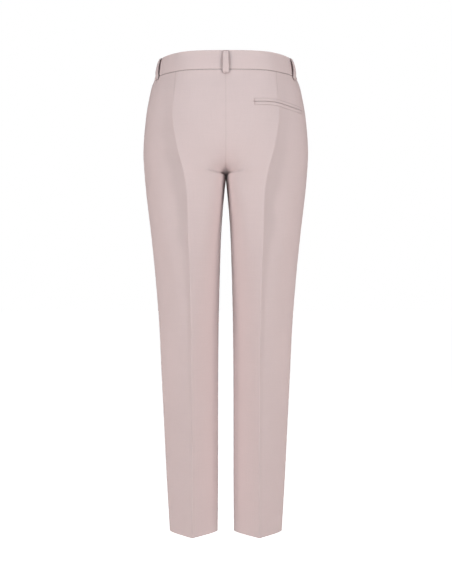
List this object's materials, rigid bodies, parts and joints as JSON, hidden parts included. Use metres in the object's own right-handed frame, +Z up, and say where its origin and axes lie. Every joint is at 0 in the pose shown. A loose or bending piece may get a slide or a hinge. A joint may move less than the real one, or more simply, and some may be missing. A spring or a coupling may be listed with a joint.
{
  "type": "cigarette trousers",
  "caption": "Cigarette trousers in worn, hollow form: tapered creased legs, looped waistband, fly closure and one double-welt back pocket.",
  "frame": {"origin": "middle of the waistband at half its height, where the wearer holds the trousers up", "axes": "+Z up along the body, +Y out of the garment's back, +X to the wearer's left"},
  "size_m": [0.3278, 0.2278, 0.936],
  "materials": {
    "cloth_front_left": "fine plain weave, dusty pink, matt with a soft sheen",
    "cloth_front_right": "fine plain weave, dusty pink, matt with a soft sheen",
    "cloth_back_left": "fine plain weave, dusty pink, matt with a soft sheen",
    "cloth_back_right": "fine plain weave, dusty pink, matt with a soft sheen",
    "cloth_waistband": "fine plain weave, doubled and pressed",
    "cloth_loops": "fine plain weave, folded strip, pressed",
    "cloth_pocket": "fine plain weave, folded lips, pressed",
    "button": "dusty pink resin, polished",
    "zip_tape": "woven tape, dusty pink",
    "zip_metal": "nickel, satin"
  },
  "bodies": {
    "root": {"front_left": "cloth_front_left", "front_right": "cloth_front_right", "back_left": "cloth_back_left", "back_right": "cloth_back_right", "waistband_left": "cloth_waistband", "waistband_right": "cloth_waistband", "belt_loop_back": "cloth_loops", "belt_loop_side_left": "cloth_loops", "belt_loop_side_right": "cloth_loops", "belt_loop_front_left": "cloth_loops", "belt_loop_front_right": "cloth_loops", "pocket_lip_upper": "cloth_pocket", "pocket_lip_lower": "cloth_pocket", "button": "button", "zip_tape_left": "zip_tape", "zip_tape_right": "zip_tape", "zip_slider": "zip_metal", "zip_pull_tab": "zip_metal"}
  },
  "joints": []
}
